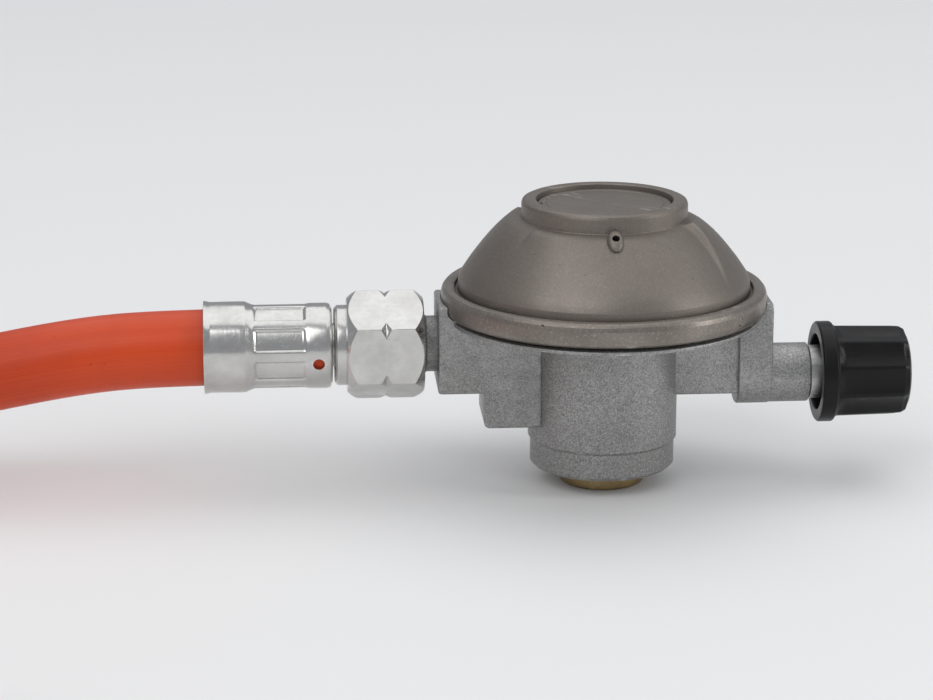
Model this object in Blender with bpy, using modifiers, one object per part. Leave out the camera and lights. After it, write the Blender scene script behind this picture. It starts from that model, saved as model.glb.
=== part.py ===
"""Low-pressure gas regulator for screw-on cartridges, with its shut-off knob and its hose.

The origin is the centre of the brass inlet's mouth, on the surface that the regulator
stands on. +Z runs up the diaphragm's axis, the shut-off knob points to +X and the
outlet, with the hose, to -X. Sizes are in millimetres and MM turns them into metres.
"""

import math

import bmesh
import bpy
import numpy as np
from mathutils import Matrix, Vector

MM = 0.001

# Driving sizes
OUTLET_Z = 28.5  # height of the outlet's axis
KNOB_Z = 21.3  # height of the shut-off spindle's axis
COLUMN_R = 14.75  # round column under the diaphragm chamber
FOOT_R = 14.3  # its lower band
FOOT_Z = (3.6, 9.1)
RING_R = 32.0  # crimped rim
DOME_R = 28.7
COLLAR_R = 16.25
COLLAR_TOP = 57.2
THREAD_R = 6.58  # crests of the G 1/4 left-hand thread
THREAD_PITCH = 1.337
THREAD_TURNS = 7
OUTLET_END = -44.9
BLOCK_END = -33.0  # outer faces of the two side blocks
BOSS_END = 33.0
NECK_R = 5.85
NECK_END = 40.7
INLET_R = 8.4
SOCKET_R = 5.6  # for the cartridge's 7/16 in collar
WELL_R = 11.8  # round pocket that holds the lever
WELL_FLOOR = 25.6
BORE_R = 2.2  # shut-off bore
SEAT_X = 4.2
NOZZLE_X = -8.0
LEVER_PIVOT = (-5.0, 31.9)  # x and z of the lever's pin
KNOB_R = 10.0
KNOB_START = 42.6
KNOB_END = 61.0
NUT_FLATS = 19.0
NUT_MOUTH = -35.6
NUT_BORE_R = 6.7
NUT_LENGTH = 15.0
NUT_SHOULDER = 2.5
HOSE_R = 7.5
SLAB_OUTLINE = [(12.6, 34.0), (12.6, 18.3), (27.5, 18.3), (27.5, 34.0)]  # x and z
FAR_MOUTH_X = -113.0
FAR_Y = -136.2
FAR_Z = 9.5

# The hose's centre line from the ferrule by the regulator to the far one.
HOSE_ROUTE = [
    (-77.3, 0.0, 28.5),
    (-97.3, 0.0, 27.7),
    (-117.3, 0.0, 24.6),
    (-136.8, 0.0, 20.2),
    (-156.8, 0.0, 15.4),
    (-176.3, -0.1, 11.1),
    (-195.7, -1.6, 8.3),
    (-214.9, -7.0, 7.6),
    (-231.4, -17.2, 7.6),
    (-244.3, -31.8, 7.6),
    (-252.6, -49.9, 7.6),
    (-255.2, -69.2, 7.6),
    (-252.0, -88.9, 7.6),
    (-243.5, -106.3, 7.6),
    (-230.3, -120.6, 7.6),
    (-213.1, -130.6, 7.6),
    (-194.2, -135.3, 8.5),
    (-174.2, -136.2, 9.5),
    (-154.7, -136.2, 9.5),
]

ALONG_X = (0.0, math.radians(90), 0.0)
ALONG_Y = (math.radians(-90), 0.0, 0.0)


# ---------------------------------------------------------------- scene and helpers


def clear_scene():
    for old in list(bpy.data.objects):
        bpy.data.objects.remove(old, do_unlink=True)


def new_collection(name, hidden=False):
    made = bpy.data.collections.new(name)
    made.hide_render = hidden
    bpy.context.scene.collection.children.link(made)
    return made


def material(name, color, roughness, metallic):
    made = bpy.data.materials.new(name)
    made.use_nodes = True
    shader = made.node_tree.nodes["Principled BSDF"]
    shader.inputs["Base Color"].default_value = (*color, 1.0)
    shader.inputs["Roughness"].default_value = roughness
    shader.inputs["Metallic"].default_value = metallic
    return made


def add(name, data, place=(0, 0, 0), turn=(0, 0, 0), finish=None, into=None):
    """Links an object at a place in millimetres."""
    made = bpy.data.objects.new(name, data)
    made.location = Vector(place) * MM
    made.rotation_euler = turn
    if finish:
        data.materials.append(finish)
    (into or PARTS).objects.link(made)
    if into is CUTTERS:
        made.hide_render = True
        made.display_type = "WIRE"
    return made


def turned(name, outline, place=(0, 0, 0), turn=(0, 0, 0), finish=None, into=None, steps=24):
    """A turned shape. Its outline holds (radius, height) points, down the outer side.

    It is a ring if the outline stays off the axis, and solid if it starts and ends on it.
    """
    mesh = bpy.data.meshes.new(name)
    points = [(r * MM, 0.0, h * MM) for r, h in outline]
    edges = [(i, i + 1) for i in range(len(points) - 1)]
    if outline[0][0] > 0 and outline[-1][0] > 0:
        edges.append((len(points) - 1, 0))
    mesh.from_pydata(points, edges, [])
    made = add(name, mesh, place, turn, finish, into)
    screw = made.modifiers.new("turn", "SCREW")
    screw.steps = steps
    screw.render_steps = steps
    screw.use_merge_vertices = True
    screw.merge_threshold = 0.00001
    screw.use_smooth_shade = True
    return made


def rod(radius, low, high):
    """The outline of a plain rod from one height to another."""
    return [(0, high), (radius, high), (radius, low), (0, low)]


def tube_outline(outer, inner, low, high):
    return [(outer, high), (outer, low), (inner, low), (inner, high)]


def box(name, low, high, finish=None, into=None, bevel=0.0):
    """A block between two corners, its edges rounded by bevel."""
    low, high = Vector(low), Vector(high)
    mesh = bpy.data.meshes.new(name)
    shape = bmesh.new()
    bmesh.ops.create_cube(shape, size=1.0)
    bmesh.ops.scale(shape, vec=(high - low) * MM, verts=shape.verts)
    shape.to_mesh(mesh)
    shape.free()
    made = add(name, mesh, (low + high) / 2, (0, 0, 0), finish, into)
    if bevel:
        rounding = made.modifiers.new("edges", "BEVEL")
        rounding.width = bevel * MM
        rounding.segments = 2
    return made


def prism(name, outline, axis, low, high, bevel=0.0, into=None, finish=None):
    """A flat outline drawn out along X or Y, its edges rounded by bevel.

    The outline's pairs are (y, z) for X and (x, z) for Y.
    """
    mesh = bpy.data.meshes.new(name)
    shape = bmesh.new()
    if axis == "X":
        corners = [shape.verts.new(Vector((low, a, b)) * MM) for a, b in outline]
    else:
        corners = [shape.verts.new(Vector((a, low, b)) * MM) for a, b in outline]
    face = shape.faces.new(corners)
    drawn = bmesh.ops.extrude_face_region(shape, geom=[face])["geom"]
    moved = [item for item in drawn if isinstance(item, bmesh.types.BMVert)]
    step = Vector((high - low, 0, 0)) if axis == "X" else Vector((0, high - low, 0))
    bmesh.ops.translate(shape, verts=moved, vec=step * MM)
    bmesh.ops.recalc_face_normals(shape, faces=shape.faces)
    shape.to_mesh(mesh)
    shape.free()
    made = add(name, mesh, finish=finish, into=into)
    if bevel:
        rounding = made.modifiers.new("edges", "BEVEL")
        rounding.width = bevel * MM
        rounding.segments = 2
        rounding.limit_method = "ANGLE"
        rounding.angle_limit = math.radians(40)
    return made


def hexagon(name, flats, length, place, turn, roll, finish=None):
    """A hexagonal bar, its back end at the place, with a corner at roll degrees."""
    mesh = bpy.data.meshes.new(name)
    shape = bmesh.new()
    radius = flats / math.sqrt(3)
    bmesh.ops.create_cone(
        shape,
        cap_ends=True,
        segments=6,
        radius1=radius * MM,
        radius2=radius * MM,
        depth=length * MM,
        matrix=Matrix.Translation((0, 0, length * MM / 2)) @ Matrix.Rotation(math.radians(roll), 4, "Z"),
    )
    shape.to_mesh(mesh)
    shape.free()
    return add(name, mesh, place, turn, finish)


def combine(target, other, operation):
    step = target.modifiers.new(f"{operation.lower()} {other.name}", "BOOLEAN")
    step.operation = operation
    step.object = other
    return target


def cut(target, *others):
    for other in others:
        combine(target, other, "DIFFERENCE")
    return target


def join(target, *others):
    for other in others:
        combine(target, other, "UNION")
    return target


def manifold(made):
    """Sets the solver that copes with bores that cross one another or meet at an edge."""
    for step in made.modifiers:
        if step.type == "BOOLEAN":
            step.solver = "MANIFOLD"
    return made


def smooth_line(points, spacing):
    """Points every spacing or so along the natural cubic spline through the given points."""
    points = np.array(points, float)
    knots = np.concatenate([[0], np.cumsum(np.linalg.norm(np.diff(points, axis=0), axis=1))])
    count = len(points)
    gaps = np.diff(knots)
    matrix = np.eye(count)
    right = np.zeros((count, 3))
    for i in range(1, count - 1):
        matrix[i, i - 1 : i + 2] = gaps[i - 1], 2 * (gaps[i - 1] + gaps[i]), gaps[i]
        right[i] = 6 * ((points[i + 1] - points[i]) / gaps[i] - (points[i] - points[i - 1]) / gaps[i - 1])
    bends = np.linalg.solve(matrix, right)
    line = []
    for at in np.linspace(0, knots[-1], round(knots[-1] / spacing) + 1):
        i = min(int(np.searchsorted(knots, at, "right")) - 1, count - 2)
        back, ahead, gap = at - knots[i], knots[i + 1] - at, gaps[i]
        bend = (bends[i] * ahead**3 + bends[i + 1] * back**3) / (6 * gap)
        start = (points[i] / gap - bends[i] * gap / 6) * ahead
        end = (points[i + 1] / gap - bends[i + 1] * gap / 6) * back
        line.append(bend + start + end)
    return line


def tube(name, points, radius, resolution, finish):
    """A round bar along points in millimetres."""
    curve = bpy.data.curves.new(name, "CURVE")
    curve.dimensions = "3D"
    curve.bevel_depth = radius * MM
    curve.bevel_resolution = resolution
    curve.use_fill_caps = True
    spline = curve.splines.new("POLY")
    spline.points.add(len(points) - 1)
    for point, place in zip(spline.points, points):
        point.co = (*(Vector(place) * MM), 1.0)
    return add(name, curve, finish=finish)


# ---------------------------------------------------------------- finishes

clear_scene()
PARTS = new_collection("propane_regulator_hose")
CUTTERS = new_collection("cutters", hidden=True)

CAST = material("blasted_zinc", (0.30, 0.30, 0.29), 0.45, 0.9)
COVER = material("cover_zinc", (0.21, 0.19, 0.17), 0.42, 0.85)
RIM = material("rim_zinc", (0.23, 0.20, 0.18), 0.40, 0.85)
BRASS = material("brass", (0.45, 0.36, 0.20), 0.35, 1.0)
STEEL = material("steel", (0.55, 0.55, 0.54), 0.30, 1.0)
BRONZE = material("sintered_bronze", (0.35, 0.22, 0.11), 0.7, 0.8)
SPRING_STEEL = material("spring_steel", (0.40, 0.40, 0.40), 0.30, 1.0)
NICKEL = material("bright_nickel", (0.72, 0.72, 0.71), 0.14, 1.0)
RUBBER = material("black_rubber", (0.02, 0.02, 0.02), 0.65, 0.0)
PLASTIC = material("black_plastic", (0.012, 0.012, 0.012), 0.32, 0.0)
HOSE = material("orange_hose", (0.60, 0.065, 0.012), 0.38, 0.0)


# ---------------------------------------------------------------- regulator body


def make_body():
    """The zinc casting: chamber, lever well, column and foot as one turned shape, with
    the stepped outlet block on one side and the shut-off boss on the other."""
    outline = [
        (0, WELL_FLOOR),
        (WELL_R, WELL_FLOOR),
        (WELL_R, 35.0),
        (26.5, 35.0),
        (26.5, 37.0),
        (30.0, 37.0),
        (30.0, 36.0),
        (29.3, 35.8),
        (29.3, 34.8),
        (30.9, 34.4),
        (30.9, 33.7),
        (COLUMN_R + 0.8, 33.7),
        (COLUMN_R, 32.9),
        (COLUMN_R, FOOT_Z[1]),
        (FOOT_R, FOOT_Z[1]),
        (FOOT_R, FOOT_Z[0] + 0.6),
        (FOOT_R - 0.6, FOOT_Z[0]),
        (7.6, FOOT_Z[0]),
        (7.6, 15.3),
        (6.8, 15.3),
        (6.8, 17.2),
        (0, 17.2),
    ]
    body = turned("body_casting", outline, finish=CAST, steps=48)
    above_rim = turned("above_rim", rod(RING_R + 0.3, 34.6, 41.0), into=CUTTERS, steps=48)
    blocks = [
        prism("outlet_block", outlet_block_outline(), "Y", -7.5, 7.5, 0.9, CUTTERS),
        prism("shut_off_slab", SLAB_OUTLINE, "Y", -5.0, 5.0, 0.6, CUTTERS),
        prism("shut_off_boss", boss_outline(), "X", 26.3, BOSS_END, 0.4, CUTTERS),
    ]
    for block in (blocks[0], blocks[2]):
        cut(block, above_rim)
    rounds = [
        turned("knob_neck", rod(NECK_R, BOSS_END - 2, NECK_END), (0, 0, KNOB_Z), ALONG_X, into=CUTTERS),
        turned("outlet_spigot", spigot_outline(), (0, 0, OUTLET_Z), ALONG_X, into=CUTTERS),
    ]
    join(body, *blocks, *rounds)
    cut(body, *body_bores())
    return manifold(body)


def outlet_block_outline():
    """The stepped block under the outlet, in x and z."""
    corner = [(-23.0 - 1.0 * math.cos(t), 13.9 - 1.0 * math.sin(t)) for t in (0.0, 0.8, math.pi / 2)]
    return [(BLOCK_END, 37.6), (BLOCK_END, 20.0), (-24.0, 20.0), *corner, (-12.6, 12.9), (-12.6, 37.6)]


def boss_outline():
    """The shut-off boss seen from its end, in y and z: straight sides and a round bottom."""
    under = [(-6.4 * math.cos(math.pi * i / 12), KNOB_Z - 6.4 * math.sin(math.pi * i / 12)) for i in range(13)]
    return [*under, (6.4, 35.4), (5.0, 36.8), (-5.0, 36.8), (-6.4, 35.4)]


def spigot_outline():
    """The outlet's neck and its thread, as rings of the thread's profile."""
    root = THREAD_R - 0.85
    start = OUTLET_END + THREAD_TURNS * THREAD_PITCH
    outline = [(0, BLOCK_END + 2), (5.5, BLOCK_END + 2), (5.5, start + 0.3), (root, start)]
    for turn in range(THREAD_TURNS):
        crest = start - (turn + 0.5) * THREAD_PITCH
        outline += [(THREAD_R, crest), (root, crest - THREAD_PITCH / 2)]
    return outline + [(0, OUTLET_END)]


def body_bores():
    """Every passage that is drilled into the casting."""
    shut_off = [
        (0, NECK_END + 1),
        (4.6, NECK_END + 1),
        (4.6, 35.5),
        (3.3, 35.5),
        (3.3, 28.0),
        (BORE_R, 28.0),
        (BORE_R, SEAT_X),
        (1.0, SEAT_X),
        (1.0, NOZZLE_X - 1.0),
        (0, NOZZLE_X - 1.0),
    ]
    outlet = [(0, -10.3), (2.8, -10.3), (2.8, -41.8), (4.6, OUTLET_END), (4.6, OUTLET_END - 1), (0, OUTLET_END - 1)]
    nozzle_seat = [(0, 26.5), (2.6, 26.5), (2.6, 23.4), (0.9, 23.4), (0.9, KNOB_Z), (0, KNOB_Z)]
    return [
        turned("shut_off_bore", shut_off, (0, 0, KNOB_Z), ALONG_X, into=CUTTERS),
        turned("outlet_bore", outlet, (0, 0, OUTLET_Z), ALONG_X, into=CUTTERS),
        turned("nozzle_bore", nozzle_seat, (NOZZLE_X, 0, 0), into=CUTTERS),
        turned("feed_hole", rod(0.8, 16.8, 18.9), (5.4, 0, 0), into=CUTTERS, steps=24),
        turned("pin_holes", rod(0.88, -12.5, 12.5), (LEVER_PIVOT[0], 0, LEVER_PIVOT[1]), ALONG_Y, into=CUTTERS, steps=20),
    ]


def make_rim():
    """The crimped ring that clamps the cover, the diaphragm and the body together."""
    outline = [
        (30.2, 40.1),
        (31.4, 39.85),
        (RING_R, 38.7),
        (31.95, 36.3),
        (31.2, 35.2),
        (29.7, 35.0),
        (29.7, 35.65),
        (30.3, 35.9),
        (30.3, 39.3),
        (29.3, 39.35),
        (29.3, 39.8),
    ]
    return turned("crimp_ring", outline, finish=RIM, steps=48)


def make_cover():
    """The domed cover: a thin shell with a flange, and a collar that holds the spring."""
    outline = [
        (13.4, COLLAR_TOP),
        (15.5, COLLAR_TOP),
        (COLLAR_R, COLLAR_TOP - 0.8),
        (COLLAR_R, 54.2),
        (18.8, 52.5),
        (21.5, 50.3),
        (24.6, 47.0),
        (27.4, 43.6),
        (DOME_R, 41.2),
        (DOME_R, 39.1),
        (30.0, 39.0),
        (30.0, 38.2),
        (27.1, 38.2),
        (27.1, 41.0),
        (23.0, 46.2),
        (20.0, 49.2),
        (17.6, 51.3),
        (14.0, 51.9),
        (14.0, 50.0),
        (11.2, 50.0),
        (11.2, 55.1),
        (13.4, 55.1),
    ]
    cover = turned("cover_dome", outline, finish=COVER, steps=48)
    vent = turned("vent_hole", rod(0.8, -3.4, 2.0), (0, -17.2, 54.0), (math.radians(55), 0, 0), into=CUTTERS, steps=20)
    return cut(cover, vent)


def make_marking_disc():
    """The pressed-in disc that closes the collar over the spring's adjuster."""
    return turned("marking_disc", [(0, 56.3), (12.9, 56.3), (13.15, 56.05), (13.15, 55.4), (0, 55.4)], finish=COVER)


# ---------------------------------------------------------------- spring and diaphragm


def make_adjuster():
    plug = turned(
        "spring_adjuster",
        [(0, 54.7), (10.7, 54.7), (11.1, 54.3), (11.1, 52.0), (7.8, 51.8), (7.6, 50.4), (0, 50.4)],
        finish=BRASS,
    )
    slot = box("adjuster_slot", (-8.0, -1.0, 53.6), (8.0, 1.0, 55.5), into=CUTTERS)
    return cut(plug, slot)


def make_spring():
    turns, start, end, radius, wire = 5, 40.15, 50.65, 9.0, 0.8
    steps = turns * 12
    points = [
        (
            radius * math.cos(math.tau * turns * i / steps),
            radius * math.sin(math.tau * turns * i / steps),
            start + (end - start) * i / steps,
        )
        for i in range(steps + 1)
    ]
    return tube("main_spring", points, wire, 2, SPRING_STEEL)


def make_diaphragm():
    """A rubber sheet with one round fold, and a bead that the flanges clamp."""
    outline = [
        (17.4, 37.95),
        (20.5, 37.2),
        (23.5, 37.2),
        (26.0, 37.9),
        (29.6, 37.9),
        (29.6, 37.3),
        (26.2, 37.3),
        (23.7, 36.6),
        (20.3, 36.6),
        (17.2, 37.35),
        (3.4, 37.35),
        (3.4, 37.95),
    ]
    return turned("diaphragm", outline, finish=RUBBER, steps=32)


def make_plate():
    return turned(
        "diaphragm_plate",
        [(16.2, 39.6), (16.8, 39.6), (16.8, 38.25), (3.3, 38.25), (3.3, 39.0), (16.2, 39.0)],
        finish=STEEL,
    )


def make_hub():
    """The stem through the diaphragm. The lever's fork sits in the neck under its washer."""
    outline = [
        (0, 42.4),
        (2.6, 42.4),
        (3.0, 42.0),
        (3.0, 37.05),
        (9.0, 37.05),
        (9.0, 36.2),
        (2.9, 35.9),
        (2.9, 33.2),
        (1.3, 33.0),
        (1.3, 30.7),
        (2.6, 30.5),
        (2.6, 29.6),
        (2.1, 29.2),
        (0, 29.2),
    ]
    return turned("diaphragm_hub", outline, finish=BRASS)


def make_hub_nut():
    nut = hexagon("hub_nut", 8.0, 2.2, (0, 0, 39.3), (0, 0, 0), 0, BRASS)
    return cut(nut, turned("hub_nut_bore", rod(3.08, 38.0, 43.0), into=CUTTERS))


# ---------------------------------------------------------------- lever and valve


def make_lever():
    x, z = LEVER_PIVOT
    lever = box("valve_lever", (NOZZLE_X - 2.0, -1.9, z - 0.6), (2.6, 1.9, z + 0.6), STEEL)
    boss = turned("lever_boss", rod(1.45, -2.2, 2.2), (x, 0, z), ALONG_Y, into=CUTTERS, steps=24)
    hole = turned("lever_hole", rod(0.88, -3.0, 3.0), (x, 0, z), ALONG_Y, into=CUTTERS, steps=24)
    fork = box("lever_fork", (-1.7, -1.5, z - 2.0), (4.0, 1.5, z + 2.0), into=CUTTERS)
    lever.location.x -= x * MM
    lever.location.z -= z * MM
    return move_origin(manifold(cut(join(lever, boss), hole, fork)), (x, 0, z))


def move_origin(made, place):
    """Puts the object's origin on its joint axis and leaves its shape where it is."""
    middle = Vector(made.location)
    made.data.transform(Matrix.Translation(middle))
    made.location = Vector(place) * MM
    return made


def make_lever_pin():
    x, z = LEVER_PIVOT
    return turned("lever_pin", rod(0.8, -11.9, 11.9), (x, 0, z), ALONG_Y, finish=STEEL, steps=20)


def make_valve():
    """Nozzle, guide, plunger and rubber pad, stacked on the well's floor."""
    x = NOZZLE_X
    nozzle = [(0.7, 27.0), (1.2, 27.0), (1.6, 26.2), (1.6, 25.6), (2.5, 25.4), (2.5, 23.7), (0.7, 23.7)]
    turned("valve_nozzle", nozzle, (x, 0, 0), finish=BRASS)
    guide = turned("valve_guide", tube_outline(3.3, 2.6, 25.9, 29.9), (x, 0, 0), finish=BRASS)
    cut(guide, box("guide_windows", (x - 1.0, -4.0, 25.0), (x + 1.0, 4.0, 27.4), into=CUTTERS))
    plunger = [
        (0, 31.0),
        (1.2, 31.0),
        (1.4, 30.1),
        (2.52, 29.9),
        (2.52, 28.0),
        (2.12, 28.0),
        (2.12, 29.2),
        (0, 29.2),
    ]
    turned("valve_plunger", plunger, (x, 0, 0), finish=BRASS)
    turned("valve_pad", rod(2.0, 27.9, 28.9), (x, 0, 0), finish=RUBBER)


# ---------------------------------------------------------------- cartridge inlet


def make_inlet():
    outline = [
        (7.3, 15.0),
        (7.3, 3.3),
        (INLET_R, 3.3),
        (INLET_R, 0.4),
        (INLET_R - 0.4, 0.0),
        (SOCKET_R + 0.6, 0.0),
        (SOCKET_R, 0.7),
        (SOCKET_R, 11.4),
        (3.4, 11.4),
        (3.4, 15.0),
    ]
    turned("cartridge_inlet", outline, finish=BRASS, steps=36)
    turned("inlet_seal", tube_outline(5.3, 2.0, 9.0, 11.1), finish=RUBBER)
    pin = [(3.2, 14.7), (3.2, 11.7), (1.6, 11.5), (1.6, 6.4), (1.2, 6.0), (0.7, 6.0), (0.7, 14.7)]
    turned("valve_pin", pin, finish=BRASS)
    turned("inlet_filter", rod(6.5, 15.5, 16.7), finish=BRONZE)


# ---------------------------------------------------------------- shut-off valve and knob


def make_shut_off():
    axis = (0, 0, KNOB_Z)
    pad = [(0, 8.0), (0.7, 8.0), (0.7, 6.2), (1.8, 6.2), (1.8, 4.5), (0, 4.5)]
    turned("shut_off_pad", pad, axis, ALONG_X, finish=RUBBER, steps=20)
    spindle = [
        (0, 58.0),
        (2.0, 58.0),
        (2.2, 57.8),
        (2.2, 35.0),
        (3.22, 35.0),
        (3.22, 33.4),
        (1.7, 33.2),
        (1.7, 25.2),
        (1.3, 25.1),
        (1.3, 23.9),
        (1.7, 23.8),
        (1.7, 6.6),
        (0.8, 6.6),
        (0.8, 8.4),
        (0, 8.4),
    ]
    turned("shut_off_spindle", spindle, axis, ALONG_X, finish=BRASS)
    turned("spindle_o_ring", o_ring_outline(1.73, 0.4, 24.5), axis, ALONG_X, finish=RUBBER)
    gland = [
        (5.3, 43.4),
        (5.3, 41.0),
        (4.5, 41.0),
        (4.5, 37.0),
        (2.28, 37.0),
        (2.28, 43.4),
    ]
    turned("gland_nut", gland, axis, ALONG_X, finish=STEEL)


def o_ring_outline(middle, radius, height, sides=6):
    """A circle, run so that its outer side goes down."""
    return [
        (middle + radius * math.cos(-math.tau * i / sides), height + radius * math.sin(-math.tau * i / sides))
        for i in range(sides)
    ]


def make_knob():
    """A hollow plastic knob: a flange at its mouth, shallow flutes, and a boss inside
    that grips the spindle."""
    outline = [
        (0, KNOB_END),
        (7.2, KNOB_END - 0.4),
        (8.6, KNOB_END - 1.0),
        (9.0, KNOB_END - 2.2),
        (9.25, KNOB_START + 3.2),
        (KNOB_R - 0.3, KNOB_START + 3.2),
        (KNOB_R, KNOB_START + 2.9),
        (KNOB_R, KNOB_START + 0.3),
        (KNOB_R - 0.3, KNOB_START),
        (7.5, KNOB_START),
        (7.5, 55.0),
        (3.6, 56.0),
        (3.6, 47.5),
        (2.28, 47.5),
        (2.28, 58.3),
        (0, 58.3),
    ]
    knob = turned("control_knob", outline, (0, 0, KNOB_Z), ALONG_X, finish=PLASTIC, steps=40)
    return cut(knob, *knob_flutes())


def knob_flutes(count=10, radius=5.6, depth=0.45):
    """Wide shallow grooves along the knob's grip."""
    away = 9.2 - depth + radius
    flutes = []
    for i in range(count):
        angle = math.tau * (i + 0.5) / count
        place = (0, away * math.cos(angle), KNOB_Z + away * math.sin(angle))
        outline = rod(radius, KNOB_START + 3.5, KNOB_END + 1)
        flutes.append(turned(f"flute_{i}", outline, place, ALONG_X, into=CUTTERS))
    return flutes


# ---------------------------------------------------------------- hose and its fittings


def make_fitting(prefix, names, place, roll):
    """Union nut, tail and crimped ferrule, laid along X with the nut's mouth at the place.

    Distances run back from the mouth, along -X.
    """
    nut_name, tail_name, ferrule_name = names
    back = -(NUT_LENGTH + NUT_SHOULDER)
    nut = hexagon(nut_name, NUT_FLATS, NUT_LENGTH, move(place, -NUT_LENGTH), ALONG_X, roll, NICKEL)
    corner = NUT_FLATS / math.sqrt(3) + 0.6
    chamfer = 9.2
    barrel = [
        (0, 0.0),
        (chamfer, 0.0),
        (corner, -2.8),
        (corner, 2.8 - NUT_LENGTH),
        (chamfer, -NUT_LENGTH),
        (0, -NUT_LENGTH),
    ]
    shoulder = [(0, 0.5 - NUT_LENGTH), (7.9, 0.5 - NUT_LENGTH), (7.9, back + 0.6), (7.3, back), (0, back)]
    bore = [(0, 1.0), (NUT_BORE_R, 1.0), (NUT_BORE_R, -11.3), (4.5, -11.3), (4.5, back - 1), (0, back - 1)]
    combine(nut, turned(f"{prefix}_barrel", barrel, place, ALONG_X, into=CUTTERS, steps=36), "INTERSECT")
    join(nut, turned(f"{prefix}_shoulder", shoulder, place, ALONG_X, into=CUTTERS))
    cut(nut, turned(f"{prefix}_nut_bore", bore, place, ALONG_X, into=CUTTERS))
    manifold(nut)
    nut.data.transform(Matrix.Translation((0, 0, -NUT_LENGTH * MM)))
    nut.location = Vector(place) * MM

    tail = [(2.9, -7.0), (4.25, -9.35), (6.1, -9.7), (6.1, -11.0), (4.3, -11.0), (4.3, -19.6), (3.7, -20.0)]
    for ridge in range(3):
        start = -23.0 - 5.6 * ridge
        tail += [(3.7, start), (4.1, start - 0.2), (3.7, start - 2.4)]
    tail += [(3.7, -40.6), (3.2, -41.2), (2.4, -41.2), (2.4, -7.0)]
    turned(tail_name, tail, place, ALONG_X, finish=NICKEL, steps=20)

    ferrule = [
        (4.7, back - 0.4),
        (7.4, back - 0.4),
        (8.4, back - 1.4),
        (8.4, back - 4.6),
        (8.1, back - 5.6),
        (8.1, back - 15.6),
        (8.9, back - 17.2),
        (8.9, back - 24.6),
        (9.2, back - 25.4),
        (8.6, back - 25.4),
        (8.3, back - 24.6),
        (8.3, back - 17.6),
        (7.6, back - 16.0),
        (7.6, back - 1.6),
        (4.7, back - 1.6),
    ]
    turned(ferrule_name, ferrule, place, ALONG_X, finish=NICKEL, steps=28)


def move(place, along):
    return (place[0] + along, place[1], place[2])


def make_hose():
    near = (NUT_MOUTH, 0, OUTLET_Z)
    far = (FAR_MOUTH_X, FAR_Y, FAR_Z)
    make_fitting("near", ("union_nut", "hose_tail", "hose_ferrule"), near, 30)
    make_fitting("far", ("far_union_nut", "far_tail", "far_ferrule"), far, 0)
    tube("hose_tube", smooth_line(HOSE_ROUTE, 12.0), HOSE_R, 3, HOSE)


make_body()
make_rim()
make_cover()
make_marking_disc()
make_adjuster()
make_spring()
make_diaphragm()
make_plate()
make_hub()
make_hub_nut()
make_lever()
make_lever_pin()
make_valve()
make_inlet()
make_shut_off()
make_knob()
make_hose()
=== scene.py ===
# %% [markdown]
# # A gas regulator and its hose
#
# The real object is a zinc die casting with a domed cover crimped onto it, a brass
# inlet that screws onto a gas cartridge, a black knob, and an orange hose on a
# left-hand nut. Its solids and joints are already there as a frame. This lesson makes
# the surfaces that are seen: each piece is modelled as a maker would make it, turned,
# drawn out or milled, and then gets a finish.
#
# All sizes are in millimetres, and MM turns them into Blender's metres.

import math

import bpy
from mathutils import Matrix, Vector


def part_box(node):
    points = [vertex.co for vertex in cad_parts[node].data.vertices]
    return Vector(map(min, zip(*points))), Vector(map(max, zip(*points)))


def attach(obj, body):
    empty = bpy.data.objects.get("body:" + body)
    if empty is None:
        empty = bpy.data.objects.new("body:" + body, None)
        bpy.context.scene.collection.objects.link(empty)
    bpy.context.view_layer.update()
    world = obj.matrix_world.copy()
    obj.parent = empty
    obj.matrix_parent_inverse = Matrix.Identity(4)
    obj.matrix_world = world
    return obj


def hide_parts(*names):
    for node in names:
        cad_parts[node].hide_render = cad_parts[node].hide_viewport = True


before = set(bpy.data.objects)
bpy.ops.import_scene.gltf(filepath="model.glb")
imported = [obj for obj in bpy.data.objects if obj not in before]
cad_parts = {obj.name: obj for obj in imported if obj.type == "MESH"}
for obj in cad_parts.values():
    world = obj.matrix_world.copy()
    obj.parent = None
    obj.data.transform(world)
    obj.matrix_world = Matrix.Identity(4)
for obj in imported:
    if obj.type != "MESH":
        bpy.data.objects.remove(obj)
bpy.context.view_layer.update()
MM = 0.001

# %% [markdown]
# ## Where the pieces are
#
# The origin is the mouth of the brass inlet. The diaphragm's axis is Z, the outlet
# points to -X and the knob to +X, each on its own height. These few numbers place
# everything, and two of them can be read back from the frame.

# %% Main places
OUTLET_Z = 28.5
KNOB_Z = 21.3
NEAR_MOUTH = (-35.6, 0.0, OUTLET_Z)
low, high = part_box("far_union_nut")
FAR_MOUTH = (high.x / MM, (low.y + high.y) / 2 / MM, (low.z + high.z) / 2 / MM)
TURN_TO_X = (0.0, math.radians(90), 0.0)
print("far nut's mouth:", [round(value, 2) for value in FAR_MOUTH])

# %% [markdown]
# ## Camera, light and floor
#
# The camera stands a little left of the regulator and looks down on it by about 15
# degrees. Metal shows what stands around it, so the light comes from a few large soft
# panels in an even pale room. The room is kept a little darker than the floor, which
# leaves the metal some contrast.

# %% Camera
viewpoint = Vector((-66.0, -560.0, 181.0)) * MM
aim = Vector((-27.0, 0.0, 27.0)) * MM
lens_data = bpy.data.cameras.new("camera")
lens_data.lens = 114.0
lens_data.sensor_width = 36.0
camera = bpy.data.objects.new("camera", lens_data)
camera.location = viewpoint
camera.rotation_euler = (aim - viewpoint).to_track_quat("-Z", "Y").to_euler()
bpy.context.collection.objects.link(camera)
bpy.context.scene.camera = camera
print("camera distance:", round((aim - viewpoint).length, 3))


# %% Light panels
MIDDLE = Vector((0, 0, 0.03))


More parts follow.
